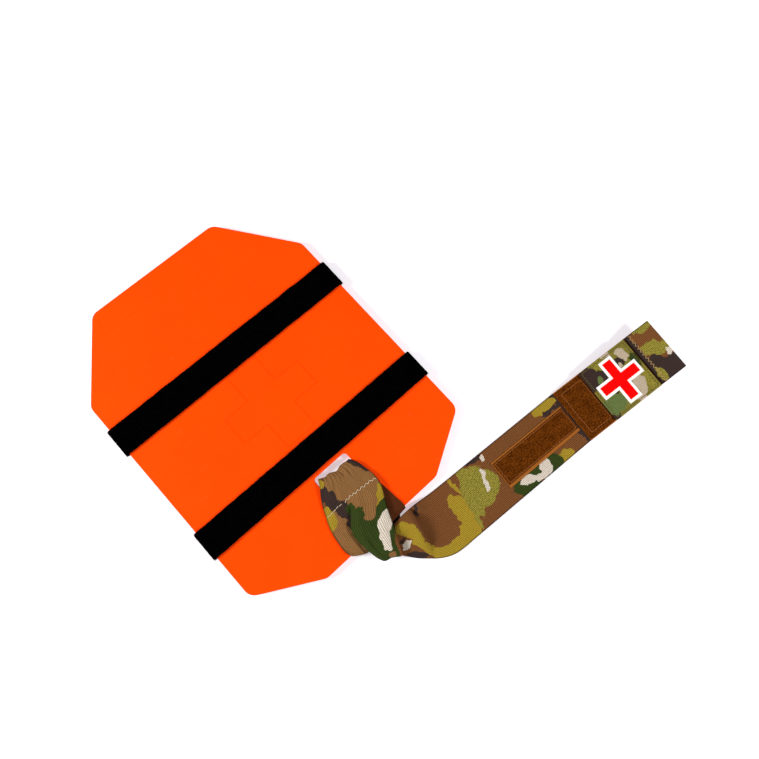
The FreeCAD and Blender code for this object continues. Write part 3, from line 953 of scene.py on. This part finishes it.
def wrap_back_stations():
    """Behind the bar, from the slot to the tail; its face looks down."""
    return [
        gathered((14.2, -90.4, -1.6), (-13.8, -89.4, -1.6), 0.4, 0.0, 0.3),
        gathered((14.6, -91.4, -3.2), (-14.2, -91.0, -3.2), 0.4, 0.0, 0.3),
        gathered((16.4, -96.0, -3.9), (-16.4, -96.0, -3.9), 0.6, 0.1, 0.45),
        gathered((20.5, -110.0, -3.9), (-20.5, -110.0, -3.9), 0.4, 0.1, 0.4),
        gathered((22.8, -125.0, -3.9), (-22.8, -125.0, -3.9), 0.2, 0.0, 0.3, 3.5),
        gathered((22.0, -142.5, -4.2), (-23.0, -145.0, -4.2), 1.0, 0.0, 0.35, 3.5),
        gathered((13.0, -154.0, -4.3), (-18.0, -155.0, -4.3), 1.0, 0.2, 0.4, 2.5),
        gathered((9.0, -163.0, -4.2), (-14.0, -164.0, -4.3), 0.6, 0.4, 0.4, 2.5),
    ]


EYE_START = -120.0  # where the eye lies on the camouflage, relative to the tail's start

UNDER_WIDTH = 23.0
# Fine gathers of the eye: their middle along it, their reach and their strength.
EYE_GATHERS = ((8, 9, 1.0), (80, 16, 0.6))
# Pleats of the eye: where one starts and ends along it, where it starts across it, its slant and its depth.
EYE_PLEATS = (
    (4.0, 17.0, 2.5, 0.25, 1.3),
    (7.0, 22.0, 12.0, -0.1, 0.7),
    (62.0, 86.0, 7.5, -0.06, 1.5),
    (48.0, 80.0, 13.5, 0.05, 0.8),
)
CREASE_WIDTH = 1.3  # of a pleat and of the seam's groove
SEAM_STATION = 5  # the seam runs just past this station
SEAM_AT = 1.0 + sum(mean_step(a, b) for a, b in zip(eye_stations()[:SEAM_STATION], eye_stations()[1:]))


def bell(distance, reach):
    """1 at no distance, and near 0 beyond twice the reach."""
    return math.exp(-((distance / reach) ** 2))


def eye_creases(u, v, point):
    """Fine gathers that fade away from the slot and come back at the choke, and a groove along the seam."""
    gather = 0.35 * math.sin(v * 1.5 + 2.2 * noise.noise(Vector((u / 12, v / 12, 3))))
    gather *= sum(strength * bell(u - middle, reach) for middle, reach, strength in EYE_GATHERS)
    wander = 0.45 * noise.noise(Vector((u / 11, v / 4.5, 8)))
    groove = -0.45 * bell(u - SEAM_AT, CREASE_WIDTH)
    for start, end, across, slant, depth in EYE_PLEATS:
        fade = max(0.0, math.sin(math.pi * min(1.0, max(0.0, (u - start) / (end - start)))))
        groove -= depth * fade * bell(v - across - slant * (u - start), CREASE_WIDTH)
    return Vector((0, 0, gather + wander + groove))


eye = Cloth(eye_stations(), STRAP_THICKNESS, step=0.8, start=EYE_START).shift(eye_creases)
eye_piece = own(eye.build("strap_eye_cloth", STRAP_CAMOUFLAGE), "panel", "strap_elastic", "strap_eye")
under = Cloth([points(*row) for row in UNDER_ROWS], STRAP_THICKNESS * 0.9, UNDER_WIDTH, start=EYE_START + 20)
under_piece = own(under.build("strap_eye_under", UNDER_PAINTED_SHADE), "panel", "strap_elastic")
behind = Cloth(wrap_back_stations(), STRAP_THICKNESS, start=EYE_START - 80)
behind_piece = behind.build("strap_behind_bar", HIDDEN_CAMOUFLAGE)
own(behind_piece, "panel", "strap_elastic", "strap_wrap")

eye_pairs = straight_seam((SEAM_AT, -24.5), (SEAM_AT - 0.5, -9.0))
eye_pairs += zigzag_seam((SEAM_AT, -6.0), (SEAM_AT + 1.2, 24.5), 1.9)
eye_thread = sew("strap_eye_thread", eye, eye_pairs, PALE_THREAD, 0.1, random.Random(5), 0.3, 0.25)
own(eye_thread, "panel", "tan_thread", "eye_stitching")


# ---- the strap's tail ----
def neck_row(lower, upper, heights):
    """A row of the gathered tail from its lower to its upper edge, with a height for each point."""
    lower, upper = Vector(lower), Vector(upper)
    last = len(heights) - 1
    return [Vector((*lower.lerp(upper, k / last), height)) for k, height in enumerate(heights)]


FLAT = FLOOR + STRAP_THICKNESS / 2


# The tail from inside the eye, where it is gathered, to its full width on the floor: its lower and upper edge
# point, and the heights across it.
NECK_ROWS = (
    ((-7.5, -165), (-5, -157.5), (-1.6, -1.0, -1.8, -1.0, -1.8, -1.0, -1.8, -1.0, -1.8, -1.0, -1.6)),
    ((-4.5, -172.5), (0, -153.2), (-2.2, -1.6, -1.2, -1.8, -1.2, -1.8, -1.0, -1.6, -0.6, -0.8, -1.6)),
    ((-0.6, -178.2), (8.5, -151.2), (-2.6, -1.4, -0.8, -0.8, -0.9, -0.6, 0.2, 1.4, 1.8, 1.2, 0.0)),
    ((4.6, -184.6), (16, -150.6), (-3.2, -1.6, -0.4, 0.6, 0.8, 0.6, 1.2, 2.4, 2.8, 2.2, 0.8)),
    ((12.0, -191.6), (23.0, -150.6), (-3.7, -2.2, -0.4, 1.4, 2.4, 2.9, 3.2, 3.4, 3.4, 2.6, 0.8)),
    ((15.4, -194.8), (26.0, -150.8), (-4.1, -3.4, -3.2, -4.0, -4.8, -5.0, -5.0, -5.0, -4.8, -4.2, -2.8)),
    ((19.6, -197.8), (30, -151), (-4.4, -3.6, -3.4, -3.9, -4.6, -4.9, -5.0, -4.8, -3.8, -1.2, -1.2)),
    ((29.0, -202.2), (37, -151.8), (-4.9, -4.5, -4.3, -4.6, -4.95, -5.0, -5.0, -4.9, -4.2, -3.2, -3.4)),
    ((37.6, -203.7), (42.6, -152.6), (-5.0, -4.9, -4.9, -5.0, -5.0, -5.0, -5.0, -5.0, -4.8, -4.6, -4.7)),
)


def strap_row(place, x, level):
    return [place.at(x, STRAP_WIDTH * (k / 10 - 0.5), level) for k in range(11)]


MIDDLE_LEVEL = -STRAP_THICKNESS / 2
OUTER_LEVEL = -TAPE_THICKNESS - STRAP_THICKNESS / 2
TOP_LEVEL = -TAB_DROP - STRAP_THICKNESS / 2
SPLIT_MIDDLE = 95.0  # under the hook strip
SPLIT_OUTER = 50.0  # under the patch
TAB_FOLD_END = -3.0  # where the folded end stops, by the loop field
TAIL_START = 2.6  # where the tail starts on the camouflage


def tab_fold_rows():
    """Round the strap's end and back on top of itself."""
    radius = STRAP_THICKNESS / 2
    centre = TAB_LENGTH - 2 * radius
    level = (TOP_LEVEL + OUTER_LEVEL) / 2
    turns = [math.radians(degrees) for degrees in (-90, -45, 0, 45, 90)]
    return [strap_row(TAB, centre + radius * math.cos(a), level + radius * math.sin(a)) for a in turns]


near_stations = [neck_row(*row) for row in NECK_ROWS]
near_stations += [strap_row(MIDDLE, x, MIDDLE_LEVEL) for x in (3, 12, 30, 60, SPLIT_MIDDLE)]
fold_stations = [strap_row(MIDDLE, x, MIDDLE_LEVEL) for x in (SPLIT_MIDDLE, 112, 126, MIDDLE_LENGTH - 4)]
fold_stations += [strap_row(OUTER, x, OUTER_LEVEL) for x in (4, 14, 30, SPLIT_OUTER)]
end_stations = [strap_row(OUTER, x, OUTER_LEVEL) for x in (SPLIT_OUTER, 64, 76, 82)]
end_stations += [strap_row(TAB, x, OUTER_LEVEL) for x in (3, 8, 15)]
end_stations += tab_fold_rows() + [strap_row(TAB, x, TOP_LEVEL) for x in (18, 12, 6, TAB_FOLD_END)]

near = Cloth(near_stations, STRAP_THICKNESS, step=0.9, start=TAIL_START, rounded=(True, False))
fold = Cloth(fold_stations, STRAP_THICKNESS, start=near.start + near.length, rounded=(False, False))
end = Cloth(end_stations, STRAP_THICKNESS, start=fold.start + fold.length, rounded=(False, True))

near.shift(lambda u, v, point: Vector((0, 0, max(0.0, FLAT - point.z))))
near_piece = near.build("strap_near", STRAP_CAMOUFLAGE)
fold_piece = fold.build("strap_fold_part", STRAP_CAMOUFLAGE)
end_piece = end.build("strap_end", STRAP_CAMOUFLAGE)
TAB_REACH = 3.0  # a distance each side of the pull tab's fold line; the loop below works out points there but does not use them
STRAP_BENDS = (
    (near, near_piece, ("strap_neck", "strap_middle"), MIDDLE, 4.0, ["strap_neck"]),
    (fold, fold_piece, ("strap_middle", "strap_outer"), OUTER, 5.0, ["strap_middle"]),
    (end, end_piece, ("strap_outer", "pull_tab"), TAB, TAB_REACH, ["strap_outer", "pull_tab"]),
)
for cloth, piece, bodies, place, reach, stands_for in STRAP_BENDS:
    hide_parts(*stands_for)
    place.at(-reach, 0) * MM
    place.at(reach, 0) * MM
    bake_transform(piece)

TAB_SEAM = 4.4  # from the end of the cloth
tab_top = Cloth([strap_row(TAB, x, TOP_LEVEL) for x in (TAB_FOLD_END, 8, 15)], STRAP_THICKNESS)
seam_half = STRAP_WIDTH / 2 - 0.8
tab_pairs = zigzag_seam((TAB_SEAM, -seam_half), (TAB_SEAM, seam_half), 2.4, 1.7)
tab_thread = sew("pull_tab_thread", tab_top, tab_pairs, TAN_THREAD, 0.0, random.Random(9), radius=0.27)
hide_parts("pull_tab_stitching")
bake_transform(tab_thread)


# ---- tapes on the strap ----
TAPE_BASE = 0.9  # woven ground under the pile
LOOP_END = OUTER_LENGTH - 4.0  # just past the patch
FOLD_GAP = 0.9  # from the fold line to the hook strip and to the loop field


def slab(place, x_range, y_range, z_range, step=1.5):
    """Flat cloth that fills a box in a place's own directions."""
    (x0, x1), (y0, y1), (z0, z1) = x_range, y_range, z_range
    rows = [[place.at(x, y, (z0 + z1) / 2) for y in (y0, (y0 + y1) / 2, y1)] for x in (x0, x1)]
    return Cloth(rows, z1 - z0, y1 - y0, step)


def pile_height(seed, amount):
    return lambda u, v: amount * noise.noise(Vector((u * 0.9, v * 0.9, seed)))


def make_hook_strip():
    """Narrow hook strip: a woven tape with plain selvages and a field of bent hooks."""
    half = HOOK_STRIP_WIDTH / 2
    x_range = (MIDDLE_LENGTH - HOOK_STRIP_LENGTH - 0.1, MIDDLE_LENGTH - FOLD_GAP)
    tape = slab(MIDDLE, x_range, (-half, half), (0.05, TAPE_BASE))
    tape_piece = tape.build("hook_strip_tape", BROWN_TAPE)
    field = slab(MIDDLE, (x_range[0] + 0.6, x_range[1] - 0.3), (-half + 2.6, half - 1.4), (0.3, 1.45), 1.0)
    pile_piece = field.build("hook_strip_pile", BROWN_LOOP, pile_height(3, 0.22))
    nap = fibres("hook_strip_hooks", scattered(field, 4200, 31), BROWN_FIBRE, 32, 0.55, 0.05)
    pairs = box_seam((1.6, -field.width / 2 + 1.2), (field.length - 1.6, field.width / 2 - 1.2))
    thread = sew("hook_strip_thread", field, pairs, BROWN_THREAD, 0.12, random.Random(33))
    own(tape_piece, "strap_middle", "brown_hook_tape", "hook_strip")
    own(pile_piece, "strap_middle", "brown_hook_tape")
    own(nap, "strap_middle", "brown_hook_tape")
    own(thread, "strap_middle", "tan_thread", "hook_strip_stitching")


def make_loop_field():
    """Wide loop field, under the patch and up to the pull tab."""
    half = STRAP_WIDTH / 2
    low = -TAPE_THICKNESS
    tape = slab(OUTER, (FOLD_GAP, LOOP_END), (-half, half), (low + 0.03, low + TAPE_BASE))
    tape_piece = tape.build("loop_field_tape", BROWN_TAPE)
    field = slab(OUTER, (FOLD_GAP + 0.1, LOOP_END - 0.3), (-half + 0.9, half - 0.9), (low + 0.4, -0.3), 1.0)
    pile_piece = field.build("loop_field_pile", BROWN_LOOP, pile_height(4, 0.18))
    spots = scattered(field, 3000, 41, u_range=(9.0, PATCH_START - 1.8))
    nap = fibres("loop_field_nap", spots, BROWN_FIBRE, 42, 0.6, 0.05)
    spots = scattered(field, 900, 44, u_range=(2.5, 9.0))
    short_nap = fibres("loop_field_short_nap", spots, BROWN_FIBRE, 45, 0.3, 0.05)
    inset = 4.6
    pairs = box_seam((inset, -half + inset + 0.6), (PATCH_START - 2.4, half - inset - 0.6))
    thread = sew("loop_field_thread", field, pairs, BROWN_THREAD, 0.15, random.Random(43))
    own(tape_piece, "strap_outer", "brown_loop_tape", "loop_field")
    own(pile_piece, "strap_outer", "brown_loop_tape")
    own(nap, "strap_outer", "brown_loop_tape")
    own(short_nap, "strap_outer", "brown_loop_tape")
    own(thread, "strap_outer", "tan_thread", "loop_field_stitching")


make_hook_strip()
make_loop_field()


# ---- patch ----
PATCH_BACKING = 1.0
PATCH_MIDDLE = PATCH_START + PATCH_SIZE / 2
PATCH_SEAM = 2.0  # in from the patch's edge
CROSS_ROUND = 0.15


def cut_shape(name, outline, place, low, high, material):
    """Cloth cut to an outline of (x, y), with a rounded top edge."""
    shape = bmesh.new()
    corners = [shape.verts.new(place.at(x, y, low) * MM) for x, y in outline]
    face = shape.faces.new(corners)
    raised = bmesh.ops.extrude_face_region(shape, geom=[face])["geom"]
    corners = [v for v in raised if isinstance(v, bmesh.types.BMVert)]
    bmesh.ops.translate(shape, verts=corners, vec=place.z * (high - low) * MM)
    top = next(f for f in raised if isinstance(f, bmesh.types.BMFace))
    rim = list(top.edges)
    bmesh.ops.bevel(shape, geom=rim, offset=CROSS_ROUND * MM, segments=3, profile=0.5, affect="EDGES")
    bmesh.ops.recalc_face_normals(shape, faces=shape.faces)
    mesh = bpy.data.meshes.new(name)
    shape.to_mesh(mesh)
    shape.free()
    local = [(vertex.co / MM - place.origin) * UV_PER_MM for vertex in mesh.vertices]
    return finish_mesh(mesh, material, [(at.dot(place.x), at.dot(place.y)) for at in local], 40.0)


def cross_outline(x, size, width):
    """A cross of equal arms round (x, 0)."""
    a, b = width / 2, size / 2
    quarter = [(b, -a), (b, a), (a, a)]
    points_round = []
    for turn in range(4):
        c, s = round(math.cos(turn * math.pi / 2)), round(math.sin(turn * math.pi / 2))
        points_round += [(x + c * p - s * q, s * p + c * q) for p, q in quarter]
    return points_round


def make_patch():
    """The patch: a hook backing, printed cloth with a sewn rim, and a red cross on a white one."""
    half = PATCH_SIZE / 2

    def layer(inset, low, high, step):
        span = (PATCH_START + inset, PATCH_START + PATCH_SIZE - inset)
        return slab(OUTER, span, (inset - half, half - inset), (low, high), step)

    backing_piece = layer(0.8, 0.02, PATCH_BACKING, 1.5).build("patch_backing", BROWN_TAPE)
    face = layer(0.0, PATCH_BACKING - 0.05, PATCH_THICKNESS - 0.1, 0.8)

    def puff(u, v):
        """Slightly proud between the seam and the edge, and between the seam and the cross."""
        rim = min(u, face.length - u, half - abs(v))
        return 0.14 - 0.2 * bell(rim - PATCH_SEAM, 0.7) + 0.05 * noise.noise(Vector((u / 9, v / 9, 5)))

    face_piece = face.build("patch_cloth", PATCH_CAMOUFLAGE, puff)
    pairs = box_seam((PATCH_SEAM, PATCH_SEAM - half), (PATCH_SIZE - PATCH_SEAM, half - PATCH_SEAM))
    thread = sew("patch_thread", face, pairs, PATCH_THREAD, -0.05)
    top = PATCH_THICKNESS
    wide = 2 * CROSS_BORDER
    outline = cross_outline(PATCH_MIDDLE, CROSS_ARM + wide, CROSS_ARM_WIDTH + wide)
    border = cut_shape("patch_cross_border", outline, OUTER, top - 0.1, top + CROSS_LAYER, WHITE_CLOTH)
    outline = cross_outline(PATCH_MIDDLE, CROSS_ARM, CROSS_ARM_WIDTH)
    cross = cut_shape("patch_cross", outline, OUTER, top + 0.1, top + 2 * CROSS_LAYER, RED_CLOTH)
    own(backing_piece, "patch", "brown_hook_tape", "patch_hook_backing")
    own(face_piece, "patch", "patch_cloth", "patch_face")
    own(thread, "patch", "tan_thread", "patch_stitching")
    own(border, "patch", "white_cloth", "cross_border")
    own(cross, "patch", "red_cloth", "cross")


make_patch()


# ---- camera, floor and light ----
FLOOR_HALF = 3.0  # metres
FLOOR_CLEARANCE = 0.05


def look(thing, position, target, roll=0.0):
    """Places a camera or light so that it looks from position to target, in mm, rolled by some degrees."""
    back = (Vector(position) - Vector(target)).normalized()
    right = Vector((0, 0, 1)).cross(back).normalized()
    turn = Matrix((right, back.cross(right), back)).transposed() @ Matrix.Rotation(math.radians(roll), 3, "Z")
    thing.matrix_world = Matrix.Translation(Vector(position) * MM) @ turn.to_4x4()


def make_camera():
    camera = in_scene("camera", bpy.data.cameras.new("camera"))
    camera.data.lens = 33.0
    camera.data.sensor_width = 36.0
    camera.data.clip_start = 0.01
    bpy.context.scene.camera = camera
    look(camera, (-53.0, -137.9, 566.9), (79.9, -55.1, 0.0), 16.08)


def make_floor():
    mesh = bpy.data.meshes.new("floor")
    corners = [(x * FLOOR_HALF, y * FLOOR_HALF) for x, y in ((-1, -1), (1, -1), (1, 1), (-1, 1))]
    mesh.from_pydata([(x, y, (FLOOR - FLOOR_CLEARANCE) * MM) for x, y in corners], [], [(0, 1, 2, 3)])
    finish = Finish("floor_white", roughness=0.9, specular=0.1)
    grain = finish.noise(finish.object_place(), 40.0)
    finish.shader.inputs["Emission Color"].default_value = (1.0, 0.93, 1.0, 1.0)
    finish.shader.inputs["Emission Strength"].default_value = 0.48
    mesh.materials.append(finish.colour(finish.mix(grain, (0.6, 0.6, 0.61, 1.0), (0.62, 0.62, 0.63, 1.0))))
    in_scene("floor", mesh)


def make_light(name, position, watts):
    """A soft round lamp that shines on the object's middle."""
    data = bpy.data.lights.new(name, "AREA")
    data.shape = "DISK"
    data.size = 0.3
    data.energy = watts
    look(in_scene(name, data), position, (60, -60, 0))


def make_world():
    world = bpy.data.worlds.new("studio")
    world.use_nodes = True
    background = world.node_tree.nodes["Background"]
    background.inputs["Color"].default_value = (1.0, 1.0, 1.0, 1.0)
    background.inputs["Strength"].default_value = 0.3
    bpy.context.scene.world = world


make_camera()
make_floor()
make_world()
make_light("key", (-820, 470, 580), 16.0)
make_light("second", (620, -780, 760), 10.5)
bpy.context.scene.view_settings.view_transform = "Standard"
